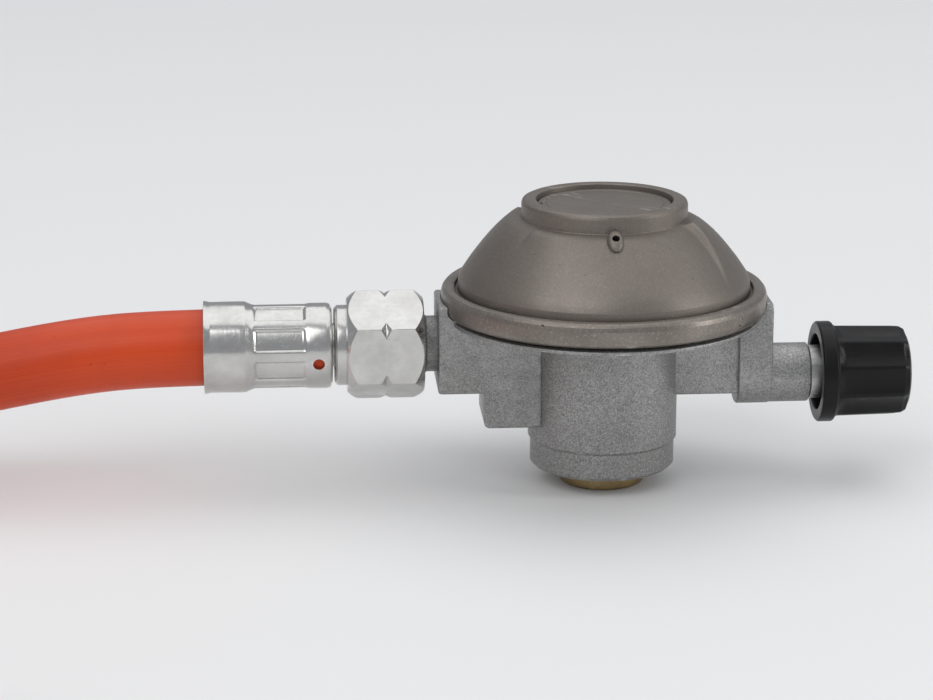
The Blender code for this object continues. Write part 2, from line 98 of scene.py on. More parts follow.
def light_panel(name, place, width, height, power):
    """A soft rectangular light that faces the regulator."""
    data = bpy.data.lights.new(name, "AREA")
    data.shape = "RECTANGLE"
    data.size = width
    data.size_y = height
    data.energy = power
    panel = bpy.data.objects.new(name, data)
    panel.location = place
    inwards = MIDDLE - Vector(place)
    panel.rotation_euler = inwards.to_track_quat("-Z", "Y").to_euler()
    bpy.context.collection.objects.link(panel)
    return panel


light_panel("key_panel", (-0.80, -1.00, 1.30), width=1.4, height=1.2, power=10.5)
light_panel("top_panel", (0.20, 0.45, 1.70), width=2.6, height=2.2, power=16.5)
light_panel("right_panel", (1.10, -0.35, 0.45), width=0.3, height=0.9, power=4.0)

world = bpy.data.worlds.new("studio")
bpy.context.scene.world = world
world.use_nodes = True
room = world.node_tree.nodes["Background"]
room.inputs["Color"].default_value = (0.93, 0.95, 1.0, 1.0)
room.inputs["Strength"].default_value = 0.40
bpy.context.scene.view_settings.view_transform = "Standard"

# %% Floor
FLOOR_SIZE = 6.0
FLOOR_GAP = 0.0001  # keeps the floor from flickering through the pieces that stand on it
bpy.ops.object.select_all(action="DESELECT")
bpy.ops.mesh.primitive_plane_add(size=FLOOR_SIZE, location=(0, 0, -FLOOR_GAP))
floor = bpy.context.object
floor.name = "floor"
floor_paint = bpy.data.materials.new("floor_paint")
floor_paint.use_nodes = True
floor_shader = floor_paint.node_tree.nodes["Principled BSDF"]
floor_shader.inputs["Base Color"].default_value = (0.85, 0.85, 0.845, 1.0)
floor_shader.inputs["Roughness"].default_value = 0.6
floor.data.materials.append(floor_paint)
print("floor is", floor.dimensions.x, "m wide")

# %% [markdown]
# ## Shared effects for the finishes
#
# Metals and plastics differ in colour and gloss, but share a few effects: a fine grain
# from blasting or moulding with painted glints, faint lathe lines on turned parts, edges
# that are rubbed brighter, which also paints their highlight, and painted shade in
# hollows. Each effect is a node group, built once. A material then places it with its
# own scale. All of them read Object coordinates, so the pattern stays on the piece when
# it moves.


# %% Node group helpers
def new_group(name, inputs, outputs):
    """An empty node group with number inputs, given as name and value."""
    group = bpy.data.node_groups.new(name, "ShaderNodeTree")
    for label, value in inputs.items():
        kind = "NodeSocketVector" if value is None else "NodeSocketFloat"
        socket = group.interface.new_socket(label, in_out="INPUT", socket_type=kind)
        if value is not None:
            socket.default_value = value
    for label in outputs:
        group.interface.new_socket(label, in_out="OUTPUT", socket_type="NodeSocketFloat")
    return group, group.nodes.new("NodeGroupInput"), group.nodes.new("NodeGroupOutput")


def maths(tree, operation, first, second=None):
    """A Math node's output. Each value is a number or a socket."""
    node = tree.nodes.new("ShaderNodeMath")
    node.operation = operation
    for slot_number, value in enumerate((first, second)):
        if value is None:
            continue
        if isinstance(value, (int, float)):
            node.inputs[slot_number].default_value = value
        else:
            tree.links.new(value, node.inputs[slot_number])
    return node.outputs[0]


def remap(tree, value, from_low, from_high, to_low=0.0, to_high=1.0):
    """A clamped Map Range node's output."""
    node = tree.nodes.new("ShaderNodeMapRange")
    for label, number in (
        ("From Min", from_low),
        ("From Max", from_high),
        ("To Min", to_low),
        ("To Max", to_high),
    ):
        node.inputs[label].default_value = number
    tree.links.new(value, node.inputs["Value"])
    return node.outputs["Result"]


def noise_value(tree, place, scale, detail=2.0):
    """A noise texture's value. The scale is a number or a socket, in cells a metre."""
    node = tree.nodes.new("ShaderNodeTexNoise")
    node.inputs["Detail"].default_value = detail
    if isinstance(scale, (int, float)):
        node.inputs["Scale"].default_value = scale
    else:
        tree.links.new(scale, node.inputs["Scale"])
    tree.links.new(place, node.inputs["Vector"])
    return node.outputs["Fac"]


print("helpers ready")

# %% Fine grain: a height for bump, and a glint mask for painted glints where single facets catch the light
GRAIN, start, end = new_group(
    "fine_grain",
    {"Place": None, "Scale": 3000.0},
    ["Height", "Glint"],
)
fine = noise_value(GRAIN, start.outputs["Place"], start.outputs["Scale"], 3.0)
cells = GRAIN.nodes.new("ShaderNodeTexVoronoi")
GRAIN.links.new(start.outputs["Place"], cells.inputs["Vector"])
GRAIN.links.new(maths(GRAIN, "MULTIPLY", start.outputs["Scale"], 1.4), cells.inputs["Scale"])
split = GRAIN.nodes.new("ShaderNodeSeparateColor")
GRAIN.links.new(cells.outputs["Color"], split.inputs["Color"])
facet = maths(GRAIN, "MULTIPLY", split.outputs["Red"], 0.6)
GRAIN.links.new(maths(GRAIN, "ADD", fine, facet), end.inputs["Height"])
GRAIN.links.new(remap(GRAIN, split.outputs["Green"], 0.8, 1.0), end.inputs["Glint"])
print("group", GRAIN.name)

# %% Edge wear and painted light: convex edges, broken up by a coarse noise, are brightened for rubbed wear and a painted edge highlight, and hollows get painted shade
WEAR_AND_PAINTED_LIGHT, start, end = new_group(
    "edge_wear_highlight_and_shade",
    {"Place": None, "Scale": 400.0, "Amount": 0.5},
    ["Edge", "Hollow Shade"],
)
geometry = WEAR_AND_PAINTED_LIGHT.nodes.new("ShaderNodeNewGeometry")
patchy = noise_value(WEAR_AND_PAINTED_LIGHT, start.outputs["Place"], start.outputs["Scale"], 4.0)
sharp = remap(WEAR_AND_PAINTED_LIGHT, geometry.outputs["Pointiness"], 0.515, 0.60)
broken = maths(WEAR_AND_PAINTED_LIGHT, "MULTIPLY", sharp, remap(WEAR_AND_PAINTED_LIGHT, patchy, 0.35, 0.6))
WEAR_AND_PAINTED_LIGHT.links.new(maths(WEAR_AND_PAINTED_LIGHT, "MULTIPLY", broken, start.outputs["Amount"]), end.inputs["Edge"])
WEAR_AND_PAINTED_LIGHT.links.new(remap(WEAR_AND_PAINTED_LIGHT, geometry.outputs["Pointiness"], 0.49, 0.42), end.inputs["Hollow Shade"])
print("group", WEAR_AND_PAINTED_LIGHT.name)

# %% Lathe lines: fine rings about the piece's own axis, at the place it is given
LATHE, start, end = new_group("lathe_lines", {"Along": None, "Scale": 2500.0}, ["Height"])
lines = noise_value(LATHE, start.outputs["Along"], start.outputs["Scale"], 2.0)
LATHE.links.new(lines, end.inputs["Height"])
print("group", LATHE.name)

# %% Clouds: slow changes of tone, with sparse pits
CLOUDS, start, end = new_group(
    "clouds_and_pits",
    {"Place": None, "Scale": 60.0, "Pit Scale": 500.0},
    ["Tone", "Pit"],
)
tone = noise_value(CLOUDS, start.outputs["Place"], start.outputs["Scale"], 5.0)
CLOUDS.links.new(remap(CLOUDS, tone, 0.3, 0.7), end.inputs["Tone"])
spots = CLOUDS.nodes.new("ShaderNodeTexVoronoi")
CLOUDS.links.new(start.outputs["Place"], spots.inputs["Vector"])
CLOUDS.links.new(start.outputs["Pit Scale"], spots.inputs["Scale"])
near_spot = remap(CLOUDS, spots.outputs["Distance"], 0.16, 0.08)
coarser = maths(CLOUDS, "MULTIPLY", start.outputs["Pit Scale"], 0.37)
some = remap(CLOUDS, noise_value(CLOUDS, start.outputs["Place"], coarser, 1.0), 0.52, 0.6)
CLOUDS.links.new(maths(CLOUDS, "MULTIPLY", near_spot, some), end.inputs["Pit"])
print("group", CLOUDS.name)


# %% [markdown]
# ## Finishes
#
# A finish is a Principled shader with a base colour, a metallic value and a roughness.
# One function places the shared groups round it, and each finish states its own
# numbers: how coarse the grain is, how deep the bump is, how worn its edges are.


# %% The finish function
LATHE_DEPTH = 0.012


def group_node(tree, group, **values):
    """The shared group placed in a material. Each value is a number or a socket."""
    node = tree.nodes.new("ShaderNodeGroup")
    node.node_tree = group
    for label, value in values.items():
        socket = node.inputs[label.replace("_", " ")]
        if isinstance(value, (int, float)):
            socket.default_value = value
        else:
            tree.links.new(value, socket)
    return node


def mixed(tree, mask, first, second):
    """A colour mix. Each colour is a tuple or a socket."""
    node = tree.nodes.new("ShaderNodeMix")
    node.data_type = "RGBA"
    tree.links.new(mask, node.inputs[0])
    for slot_number, colour in ((6, first), (7, second)):
        if isinstance(colour, tuple):
            node.inputs[slot_number].default_value = (*colour, 1.0)
        else:
            tree.links.new(colour, node.inputs[slot_number])
    return node.outputs[2]


def bumped(tree, height, strength, depth, under=None):
    """A normal bumped by the height, over another one if it is given."""
    node = tree.nodes.new("ShaderNodeBump")
    node.inputs["Strength"].default_value = strength
    node.inputs["Distance"].default_value = depth
    tree.links.new(height, node.inputs["Height"])
    if under is not None:
        tree.links.new(under, node.inputs["Normal"])
    return node.outputs["Normal"]


def make_finish(
    name,
    colour,
    dark,
    worn_and_highlight_tone,
    metallic,
    gloss,
    grain_scale,
    grain_depth,
    axis=None,
    centre=(0, 0, 0),
    edge_wear_and_highlight=0.5,
    pits=0.0,
    cloud_scale=60.0,
    glint=0.0,
    speckle=0.2,
    specular=0.5,
):
    """A finish from the shared groups.

    colour is the plain tone, dark the tone of clouds and of the painted shade in
    hollows, and the bright tone that of rubbed edges, which also paints their highlight
    and the painted glints. gloss is the lowest and highest roughness. axis adds lathe
    lines about a line through centre.
    """
    made = bpy.data.materials.new(name)
    made.use_nodes = True
    tree = made.node_tree
    shader = tree.nodes["Principled BSDF"]
    place = tree.nodes.new("ShaderNodeTexCoord").outputs["Object"]
    grain = group_node(tree, GRAIN, Place=place, Scale=grain_scale)
    clouds = group_node(tree, CLOUDS, Place=place, Scale=cloud_scale)
    wear_and_painted_light_mask = group_node(tree, WEAR_AND_PAINTED_LIGHT, Place=place, Amount=edge_wear_and_highlight)
    in_pit = tuple(value * 0.25 for value in dark)
    coarse = remap(tree, grain.outputs["Height"], 0.55, 1.0, speckle, 0.0)
    tone = mixed(tree, maths(tree, "MULTIPLY", clouds.outputs["Tone"], 0.55), colour, dark)
    # painted shade: hollows are darkened towards the dark tone
    tone = mixed(tree, maths(tree, "MULTIPLY", wear_and_painted_light_mask.outputs["Hollow Shade"], 0.7), tone, dark)
    tone = mixed(tree, coarse, tone, dark)
    # painted glints: bright specks of the bright tone where single facets catch the light
    tone = mixed(tree, maths(tree, "MULTIPLY", grain.outputs["Glint"], glint), tone, worn_and_highlight_tone)
    tone = mixed(tree, maths(tree, "MULTIPLY", clouds.outputs["Pit"], pits), tone, in_pit)
    # rubbed edges in the bright tone: partly real wear, partly a painted edge highlight
    tone = mixed(tree, wear_and_painted_light_mask.outputs["Edge"], tone, worn_and_highlight_tone)
    tree.links.new(tone, shader.inputs["Base Color"])
    rough = remap(tree, clouds.outputs["Tone"], 0.0, 1.0, gloss[0], gloss[1])
    shine = maths(tree, "MULTIPLY", grain.outputs["Glint"], glint * 0.2)
    rough = maths(tree, "SUBTRACT", rough, shine)
    tree.links.new(rough, shader.inputs["Roughness"])
    shader.inputs["Metallic"].default_value = metallic
    shader.inputs["Specular IOR Level"].default_value = specular
    sunk = maths(tree, "MULTIPLY", clouds.outputs["Pit"], pits * 3)
    height = maths(tree, "SUBTRACT", grain.outputs["Height"], sunk)
    normal = bumped(tree, height, 0.6, grain_depth * MM)
    if axis:
        rings = lathe_height(tree, place, axis, centre)
        normal = bumped(tree, rings, 0.5, LATHE_DEPTH * MM, normal)
    tree.links.new(normal, shader.inputs["Normal"])
    return made


def lathe_height(tree, place, axis, centre):
    """Lathe lines about the axis: the pattern depends only on radius and height."""
    moved = tree.nodes.new("ShaderNodeVectorMath")
    moved.operation = "SUBTRACT"
    moved.inputs[1].default_value = Vector(centre) * MM
    tree.links.new(place, moved.inputs[0])
    parts = tree.nodes.new("ShaderNodeSeparateXYZ")
    tree.links.new(moved.outputs[0], parts.inputs[0])
    along = {"X": 0, "Z": 2}[axis]
    across = [number for number in (0, 1, 2) if number != along]
    sides = [maths(tree, "ABSOLUTE", parts.outputs[number]) for number in across]
    squares = [maths(tree, "POWER", side, 2.0) for side in sides]
    radius = maths(tree, "SQRT", maths(tree, "ADD", *squares))
    ring = tree.nodes.new("ShaderNodeCombineXYZ")
    tree.links.new(radius, ring.inputs[0])
    tree.links.new(parts.outputs[along], ring.inputs[1])
    return group_node(tree, LATHE, Along=ring.outputs[0]).outputs["Height"]


print("finish function ready")

# %% [markdown]
# The casting is blasted zinc: light grey, with a sandy sparkle that is partly painted
# glints. The cover and the rolled rim are smoother and have a warm brown-grey
# passivation. Brass has lathe lines and tarnish. The nut and the ferrule are bright
# nickel. The knob is black plastic with a satin mould texture.

# %% Metal finishes
CAST_ZINC = make_finish(
    "cast_zinc",
    colour=(0.42, 0.42, 0.415),
    dark=(0.19, 0.187, 0.18),
    worn_and_highlight_tone=(0.56, 0.56, 0.55),
    metallic=0.85,
    gloss=(0.42, 0.54),
    grain_scale=3200.0,
    grain_depth=0.10,
    edge_wear_and_highlight=0.7,
    glint=0.5,
    speckle=0.8,
)
COVER_ZINC = make_finish(
    "cover_zinc",
    colour=(0.235, 0.208, 0.183),
    dark=(0.15, 0.13, 0.112),
    worn_and_highlight_tone=(0.46, 0.43, 0.40),
    metallic=0.80,
    gloss=(0.40, 0.54),
    grain_scale=3200.0,
    grain_depth=0.035,
    edge_wear_and_highlight=0.7,
    pits=0.25,
    glint=0.15,
)
RIM_ZINC = make_finish(
    "rim_zinc",
    colour=(0.27, 0.24, 0.215),
    dark=(0.16, 0.14, 0.12),
    worn_and_highlight_tone=(0.58, 0.55, 0.52),
    metallic=0.85,
    gloss=(0.30, 0.45),
    grain_scale=2200.0,
    grain_depth=0.05,
    axis="Z",
    edge_wear_and_highlight=0.8,
    pits=0.8,
    cloud_scale=120.0,
    glint=0.2,
)


def brass_finish(name, axis, centre):
    return make_finish(
        name,
        colour=(0.38, 0.28, 0.14),
        dark=(0.20, 0.14, 0.065),
        worn_and_highlight_tone=(0.74, 0.62, 0.40),
        metallic=1.0,
        gloss=(0.24, 0.42),
        grain_scale=1800.0,
        grain_depth=0.012,
        axis=axis,
        centre=centre,
        edge_wear_and_highlight=0.7,
        cloud_scale=160.0,
    )


BRASS = brass_finish("turned_brass", "Z", (0, 0, 0))
SPINDLE_BRASS = brass_finish("spindle_brass", "X", (0, 0, KNOB_Z))
VALVE_BRASS = brass_finish("valve_brass", "Z", (-8.0, 0, 0))
SINTER = make_finish(
    "sintered_bronze",
    colour=(0.36, 0.23, 0.12),
    dark=(0.15, 0.09, 0.04),
    worn_and_highlight_tone=(0.55, 0.40, 0.22),
    metallic=0.8,
    gloss=(0.6, 0.8),
    grain_scale=2500.0,
    grain_depth=0.16,
    pits=1.0,
)


def steel_finish(name, axis=None, centre=(0, 0, 0)):
    return make_finish(
        name,
        colour=(0.52, 0.52, 0.52),
        dark=(0.34, 0.34, 0.34),
        worn_and_highlight_tone=(0.75, 0.75, 0.74),
        metallic=1.0,
        gloss=(0.22, 0.38),
        grain_scale=2400.0,
        grain_depth=0.02,
        axis=axis,
        centre=centre,
        cloud_scale=140.0,
    )


STEEL = steel_finish("plated_steel")
GLAND_STEEL = steel_finish("gland_steel", "X", (0, 0, KNOB_Z))


def nickel_finish(name, centre):
    return make_finish(
        name,
        colour=(0.66, 0.655, 0.64),
        dark=(0.46, 0.45, 0.43),
        worn_and_highlight_tone=(0.85, 0.85, 0.84),
        metallic=1.0,
        gloss=(0.13, 0.27),
        grain_scale=900.0,
        grain_depth=0.012,
        axis="X",
        centre=centre,
        edge_wear_and_highlight=0.6,
        cloud_scale=180.0,
    )


NEAR_NICKEL = nickel_finish("near_nickel", NEAR_MOUTH)
FAR_NICKEL = nickel_finish("far_nickel", FAR_MOUTH)
METALS = ("zinc", "brass", "bronze", "steel", "nickel")
print("metal finishes:", sum(made.name.endswith(METALS) for made in bpy.data.materials))

# %% Plastic and rubber finishes
KNOB_PLASTIC = make_finish(
    "knob_plastic",
    colour=(0.0065, 0.0065, 0.0068),
    dark=(0.004, 0.004, 0.004),
    worn_and_highlight_tone=(0.030, 0.030, 0.030),
    metallic=0.0,
    specular=0.22,
    gloss=(0.26, 0.38),
    grain_scale=2600.0,
    grain_depth=0.03,
    edge_wear_and_highlight=0.5,
    cloud_scale=200.0,
)
SOFT_RUBBER = make_finish(
    "soft_rubber",
    colour=(0.020, 0.020, 0.020),
    dark=(0.012, 0.012, 0.012),
    worn_and_highlight_tone=(0.05, 0.05, 0.05),
    metallic=0.0,
    specular=0.35,
    gloss=(0.55, 0.72),
    grain_scale=2200.0,
    grain_depth=0.03,
    edge_wear_and_highlight=0.3,
)
print("plastic and rubber finishes ready")

# %% [markdown]
# ## Three ways to make a shape
#
# Most of this object is turned. A turned piece starts as one vertex: it is extruded
# from point to point along half of the section, and the line is then spun round its
# axis. The corners of the section are rounded first, because a real edge always
# catches a line of light. A block is an outline drawn the same way, filled, and
# extruded to its width. A thread is a small triangle that a Screw modifier winds
# along the axis.


# %% Drawing a line from one vertex
def nothing_selected():
    """Back to object mode with nothing selected, so that an operator acts on one piece."""
    if bpy.context.mode != "OBJECT":
        bpy.ops.object.mode_set(mode="OBJECT")
    bpy.ops.object.select_all(action="DESELECT")


def draw_line(name, points):
    """A chain of edges through points in millimetres. It is left in edit mode."""
    nothing_selected()
    bpy.ops.mesh.primitive_plane_add(size=MM)
    piece = bpy.context.object
    piece.name = name
    bpy.ops.object.mode_set(mode="EDIT")
    bpy.ops.mesh.merge(type="CENTER")
    bpy.ops.transform.translate(value=Vector(points[0]) * MM)
    for here, there in zip(points, points[1:]):
        step = (Vector(there) - Vector(here)) * MM
        bpy.ops.mesh.extrude_region_move(TRANSFORM_OT_translate={"value": step})
    bpy.ops.mesh.select_all(action="SELECT")
    bpy.ops.mesh.remove_doubles(threshold=0.000001)
    return piece


def rounded(outline, radius, closed, segments=3):
    """The outline with each corner turned into a short arc."""
    count = len(outline)
    made = []
    for number, corner in enumerate(outline):
        at_end = number in (0, count - 1)
        if at_end and not closed:
            made.append(corner)
            continue
        here = Vector(corner)
        before = Vector(outline[number - 1]) - here
        after = Vector(outline[(number + 1) % count]) - here
        turn = math.pi - before.angle(after)
        if turn < math.radians(12):
            made.append(corner)
            continue
        reach = min(radius * math.tan(turn / 2), before.length * 0.45, after.length * 0.45)
        first = here + before.normalized() * reach
        last = here + after.normalized() * reach
        for step in range(segments + 1):
            part = step / segments
            left = 1 - part
            made.append(tuple(first * left**2 + here * 2 * part * left + last * part**2))
    return made


def apply_modifiers(piece):
    """Makes what the modifiers do part of the mesh."""
    nothing_selected()
    piece.select_set(True)
    bpy.context.view_layer.objects.active = piece
    for step in list(piece.modifiers):
        bpy.ops.object.modifier_apply(modifier=step.name)
    return piece


def apply_place(piece, place=(0, 0, 0), turn=(0, 0, 0)):
    """Moves the piece and then makes that place part of its mesh."""
    nothing_selected()
    piece.select_set(True)
    bpy.context.view_layer.objects.active = piece
    piece.location = Vector(place) * MM
    piece.rotation_euler = turn
    bpy.ops.object.transform_apply(location=True, rotation=True, scale=True)
    return piece


print("drawing helpers ready")

# %% Turning
SMOOTH_ANGLE = math.radians(35)


def turned(name, outline, place=(0, 0, 0), along="Z", steps=128, edge=0.15):
    """A turned piece from (radius, height) points, solid or a ring."""
    ring = outline[0][0] > 0 and outline[-1][0] > 0
    section = rounded(outline, edge, ring)
    if ring:
        section = section + [section[0]]
    piece = draw_line(name, [(radius, 0, height) for radius, height in section])
    bpy.ops.mesh.spin(steps=steps, angle=math.tau, center=(0, 0, 0), axis=(0, 0, 1))
    bpy.ops.mesh.select_all(action="SELECT")
    bpy.ops.mesh.remove_doubles(threshold=0.000002)
    bpy.ops.mesh.normals_make_consistent(inside=False)
    bpy.ops.object.mode_set(mode="OBJECT")
    bpy.ops.object.shade_smooth_by_angle(angle=SMOOTH_ANGLE)
    return apply_place(piece, place, TURN_TO_X if along == "X" else (0, 0, 0))


print("turning ready")


# %% Drawing out a block
def drawn_block(name, outline, along, start, stop, edge=0.4):
    """A flat outline drawn out along X or Y. Its pairs are (y, z) for X and (x, z) for Y."""
    if along == "X":
        points = [(start, a, b) for a, b in outline]
        step = Vector((stop - start, 0, 0)) * MM
    else:
        points = [(a, start, b) for a, b in outline]
        step = Vector((0, stop - start, 0)) * MM
    piece = draw_line(name, points + [points[0]])
    bpy.ops.mesh.edge_face_add()
    bpy.ops.mesh.extrude_region_move(TRANSFORM_OT_translate={"value": step})
    bpy.ops.mesh.select_all(action="SELECT")
    bpy.ops.mesh.normals_make_consistent(inside=False)
    bpy.ops.object.mode_set(mode="OBJECT")
    rounding = piece.modifiers.new("rounding", "BEVEL")
    rounding.width = edge * MM
    rounding.segments = 4
    rounding.limit_method = "ANGLE"
    rounding.angle_limit = math.radians(32)
    apply_modifiers(piece)
    bpy.ops.object.shade_smooth_by_angle(angle=SMOOTH_ANGLE)
    return piece


print("blocks ready")

# %% Winding a thread
THREAD_STEPS = 64
THREAD_SINK = 0.12


def wound_thread(name, radius, crest, pitch, turns, place, along="X", left_hand=True):
    """A helical ridge from the radius to the crest, which may be inside a bore."""
    foot = pitch * 0.46
    flat = pitch * 0.06
    root = radius - THREAD_SINK if crest > radius else radius + THREAD_SINK
    section = [(root, 0, foot), (crest, 0, flat), (crest, 0, -flat), (root, 0, -foot)]
    piece = draw_line(name, section + [section[0]])
    bpy.ops.object.mode_set(mode="OBJECT")
    winding = piece.modifiers.new("winding", "SCREW")
    winding.angle = math.tau
    winding.iterations = turns
    winding.screw_offset = (-pitch if left_hand else pitch) * MM
    winding.steps = THREAD_STEPS
    winding.render_steps = THREAD_STEPS
    winding.use_smooth_shade = True
    apply_modifiers(piece)
    bpy.ops.object.mode_set(mode="EDIT")
    bpy.ops.mesh.select_all(action="SELECT")
    bpy.ops.mesh.fill_holes(sides=8)
    bpy.ops.mesh.normals_make_consistent(inside=False)
    bpy.ops.object.mode_set(mode="OBJECT")
    bpy.ops.object.shade_smooth_by_angle(angle=SMOOTH_ANGLE)
    return apply_place(piece, place, TURN_TO_X if along == "X" else (0, 0, 0))


print("threads ready")


# %% Joining, cutting and handing over
def joined(name, *pieces):
    """The pieces as one, which takes the place of the first."""
    nothing_selected()
    for piece in pieces:
        piece.select_set(True)
    bpy.context.view_layer.objects.active = pieces[0]
    bpy.ops.object.join()
    pieces[0].name = name
    return pieces[0]


def boolean(piece, tool, operation="DIFFERENCE"):
    """Cuts the piece with the tool, which is then removed."""
    step = piece.modifiers.new("cut", "BOOLEAN")
    step.operation = operation
    step.solver = "EXACT"
    step.object = tool
    apply_modifiers(piece)
    bpy.data.objects.remove(tool)
    bpy.ops.object.shade_smooth_by_angle(angle=SMOOTH_ANGLE)
    return piece


def hand_over(piece, finish, body, slot, *nodes):
    """Gives the piece its finish and puts it in place of the frame's nodes."""
    piece.data.materials.clear()
    piece.data.materials.append(finish)
    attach(piece, body)
    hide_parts(*nodes)
    print(piece.name, "has", len(piece.data.polygons), "faces")
    return piece


print("shape helpers ready")

# %% [markdown]
# ## The hose
#
# The hose is 0.4 m of stiff gas hose, 15 mm thick. It leaves the ferrule level, sinks
# to the floor under its own weight, and turns back in one wide bend, so that its free
# end points the same way as its start. It is a curve with a round bevel. The points
# are those of the hose's solid, with two more inside each ferrule.

# %% The hose's curve
HOSE_RADIUS = 7.5
HOSE_ROUTE = [
    (-55.0, 0.0, 28.5),
    (-66.0, 0.0, 28.5),
    (-77.3, 0.0, 28.5),
    (-97.3, 0.0, 27.7),
    (-117.3, 0.0, 24.6),
    (-136.8, 0.0, 20.2),
    (-156.8, 0.0, 15.4),
    (-176.3, -0.1, 11.1),
    (-195.7, -1.6, 8.3),
    (-214.9, -7.0, 7.6),
    (-231.4, -17.2, 7.6),
    (-244.3, -31.8, 7.6),
    (-252.6, -49.9, 7.6),
    (-255.2, -69.2, 7.6),
    (-252.0, -88.9, 7.6),
    (-243.5, -106.3, 7.6),
    (-230.3, -120.6, 7.6),
    (-213.1, -130.6, 7.6),
    (-194.2, -135.3, 8.5),
    (-174.2, -136.2, 9.5),
    (-154.7, -136.2, 9.5),
    (-143.5, -136.2, 9.5),
    (-132.4, -136.2, 9.5),
]


def spline_between(points, parts=8):
    """Catmull-Rom points between the given ones."""
    ends = [Vector(points[0]) * 2 - Vector(points[1])]
    ends += [Vector(point) for point in points]
    ends += [Vector(points[-1]) * 2 - Vector(points[-2])]
    line = []
    for a, b, c, d in zip(ends, ends[1:], ends[2:], ends[3:]):
        for number in range(parts):
            t = number / parts
            bend = (2 * a - 5 * b + 4 * c - d) * t**2
            twist = (3 * b - a - 3 * c + d) * t**3
            line.append(b + ((c - a) * t + bend + twist) / 2)
    return [*line, Vector(points[-1])]


hose_curve = bpy.data.curves.new("gas_hose", "CURVE")
hose_curve.dimensions = "3D"
hose_curve.bevel_depth = HOSE_RADIUS * MM
hose_curve.bevel_resolution = 14
hose_curve.use_fill_caps = True
hose_line = spline_between(HOSE_ROUTE)
hose_spline = hose_curve.splines.new("POLY")
hose_spline.points.add(len(hose_line) - 1)
for point, place in zip(hose_spline.points, hose_line):
    point.co = (*(place * MM), 1.0)
hose_spline.use_smooth = True
gas_hose = bpy.data.objects.new("gas_hose", hose_curve)
bpy.context.collection.objects.link(gas_hose)
hose_length = sum((b - a).length for a, b in zip(hose_line, hose_line[1:]))
print("hose length:", round(hose_length, 1), "mm")

# %% [markdown]
# The hose's cover is smooth extruded rubber, orange-red and satin. Up close it has
# faint lines along its length, small specks of dust, and slow changes of tone.

# %% The hose's finish
HOSE_RUBBER = bpy.data.materials.new("orange_hose")
HOSE_RUBBER.use_nodes = True
tree = HOSE_RUBBER.node_tree
shader = tree.nodes["Principled BSDF"]
coordinates = tree.nodes.new("ShaderNodeTexCoord")
place = coordinates.outputs["Object"]
grain = group_node(tree, GRAIN, Place=place, Scale=1500.0)
clouds = group_node(tree, CLOUDS, Place=place, Scale=45.0, Pit_Scale=350.0)
stretched = tree.nodes.new("ShaderNodeMapping")
stretched.inputs["Scale"].default_value = (1.5, 40.0, 1.0)
tree.links.new(coordinates.outputs["UV"], stretched.inputs["Vector"])
drawn_lines = noise_value(tree, stretched.outputs["Vector"], 3.0, 3.0)
tone = mixed(tree, clouds.outputs["Tone"], (0.64, 0.060, 0.007), (0.52, 0.044, 0.006))
tone = mixed(tree, remap(tree, drawn_lines, 0.45, 0.75, 0.0, 0.35), tone, (0.72, 0.085, 0.012))
tone = mixed(tree, maths(tree, "MULTIPLY", clouds.outputs["Pit"], 0.35), tone, (0.28, 0.03, 0.01))
tree.links.new(tone, shader.inputs["Base Color"])
rough = remap(tree, clouds.outputs["Tone"], 0.0, 1.0, 0.38, 0.50)
tree.links.new(rough, shader.inputs["Roughness"])
shader.inputs["Specular IOR Level"].default_value = 0.4
normal = bumped(tree, grain.outputs["Height"], 0.5, 0.02 * MM)
normal = bumped(tree, drawn_lines, 0.5, 0.05 * MM, normal)
tree.links.new(normal, shader.inputs["Normal"])
hose_curve.materials.append(HOSE_RUBBER)
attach(gas_hose, "hose")
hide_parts("hose_tube")
print("hose finish ready")

# %% [markdown]
# ## The zinc casting
#
# The casting is one piece of metal, but its forms come from three simple ones. The
# chamber, the column and the foot are turned. The stepped block under the outlet and
# the flat arm and boss under the knob's neck are drawn out from their outlines. The
# rim's corner is then cut out of the blocks, and the outlet and the spindle's bore are
# drilled.

# %% Chamber, column and foot
casting_round = turned(
    "casting_round",
    [
        (0, 25.6),
        (11.8, 25.6),
        (11.8, 35.0),
        (26.5, 35.0),
        (26.5, 37.0),
        (30.0, 37.0),
        (30.0, 36.0),
        (29.3, 35.8),
        (29.3, 34.8),
        (30.9, 34.4),
        (30.9, 33.7),
        (15.9, 33.7),
        (15.1, 33.45),
        (14.75, 32.8),
        (14.75, 9.55),
        (14.45, 9.1),
        (14.3, 9.0),
        (14.3, 4.3),
        (13.6, 3.6),
        (7.6, 3.6),
        (7.6, 15.3),
        (6.8, 15.3),
        (6.8, 17.2),
        (0, 17.2),
    ],
    steps=192,
    edge=0.25,
)
print("casting's turned part:", len(casting_round.data.polygons), "faces")

# %% Outlet block, arm and boss
ABOVE_RIM = [
    (0, 41.0),
    (32.1, 41.0),
    (32.1, 36.4),
    (31.9, 35.7),
    (31.2, 35.0),
    (30.0, 34.8),
    (0, 34.8),
]
BOSS_RADIUS = 6.0
step_corner = [
    (-23.0 - math.cos(angle), 13.9 - math.sin(angle)) for angle in (0.0, 0.4, 0.8, 1.2, math.pi / 2)
]
outlet_block = drawn_block(
    "outlet_block",
    [(-33.0, 37.6), (-33.0, 20.0), (-24.0, 20.0), *step_corner, (-12.6, 12.9), (-12.6, 37.6)],
    "Y",
    -7.5,
    7.5,
    edge=0.6,
)
boolean(outlet_block, turned("rim_tool", ABOVE_RIM, steps=160))
outlet_drill = [(0, -35.0), (2.8, -35.0), (2.8, -16.0), (0, -16.0)]
boolean(outlet_block, turned("outlet_drill", outlet_drill, (0, 0, OUTLET_Z), "X"))
